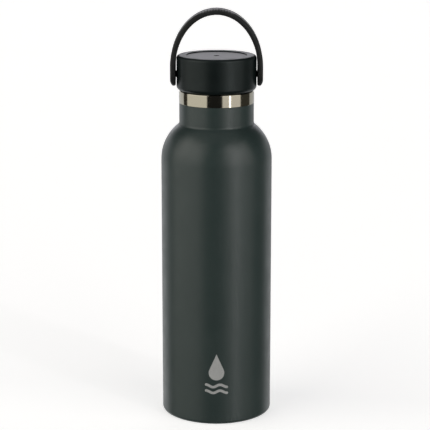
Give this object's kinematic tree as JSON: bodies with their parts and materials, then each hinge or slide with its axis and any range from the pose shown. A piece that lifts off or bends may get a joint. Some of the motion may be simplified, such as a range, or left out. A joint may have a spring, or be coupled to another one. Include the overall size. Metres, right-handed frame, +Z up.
{
  "type": "insulated water bottle",
  "caption": "Slim double-wall steel bottle with a rounded shoulder, bare steel band, threaded screw cap and swinging carry handle.",
  "frame": {"origin": "centre of the ring the bottle stands on", "axes": "+Z up along the bottle's axis, +X through the handle's pivots, -Y towards the viewer in the picture"},
  "size_m": [0.072, 0.072, 0.268],
  "materials": {
    "powder_coat": "satin charcoal powder coat with a fine texture",
    "brushed_steel": "turned and polished bare steel",
    "liner_steel": "electropolished satin steel",
    "solder_glass": "fused glass bead",
    "getter_alloy": "sintered matt pill",
    "copper": "bright rolled foil",
    "cap_plastic": "satin black moulding",
    "disc_plastic": "fine matt black moulding",
    "insert_plastic": "satin black moulding",
    "foam": "closed-cell foam",
    "silicone": "smooth matt silicone",
    "handle_plastic": "satin black moulding",
    "pin_steel": "dark polished pin",
    "printed_ink": "light grey screen print",
    "washer_nylon": "black nylon"
  },
  "bodies": {
    "bottle": {"outer_shell": "powder_coat", "mouth_ring": "brushed_steel", "inner_liner": "liner_steel", "inner_base": "liner_steel", "outer_base": "powder_coat", "base_plate": "brushed_steel", "vacuum_plug": "solder_glass", "getter": "getter_alloy", "getter_clip": "liner_steel", "heat_foil": "copper"},
    "seal": {"lip_gasket": "silicone"},
    "cap": {"cap_shell": "cap_plastic", "cap_top_disc": "disc_plastic", "cap_insert": "insert_plastic", "cap_foam": "foam", "pivot_pin_left": "pin_steel", "pivot_pin_right": "pin_steel", "friction_washer_left": "washer_nylon", "friction_washer_right": "washer_nylon"},
    "handle": {"handle_loop": "handle_plastic"}
  },
  "joints": [
    {"name": "cap_rise", "type": "slide", "parent": "bottle", "child": "seal", "axis": [0, 0, 1], "range_m": [0, 0.0135]},
    {"name": "cap_turn", "type": "hinge", "parent": "seal", "child": "cap", "pos_m": [0, 0, 0.222], "axis": [0, 0, 1], "range_deg": [0, 1080]},
    {"name": "handle_swing", "type": "hinge", "parent": "cap", "child": "handle", "pos_m": [0, 0, 0.226], "axis": [1, 0, 0], "range_deg": [-125, 125]}
  ],
  "couplings": [
    {"joint": "cap_rise", "follows": "cap_turn", "m_per_rad": 0.0007162}
  ]
}
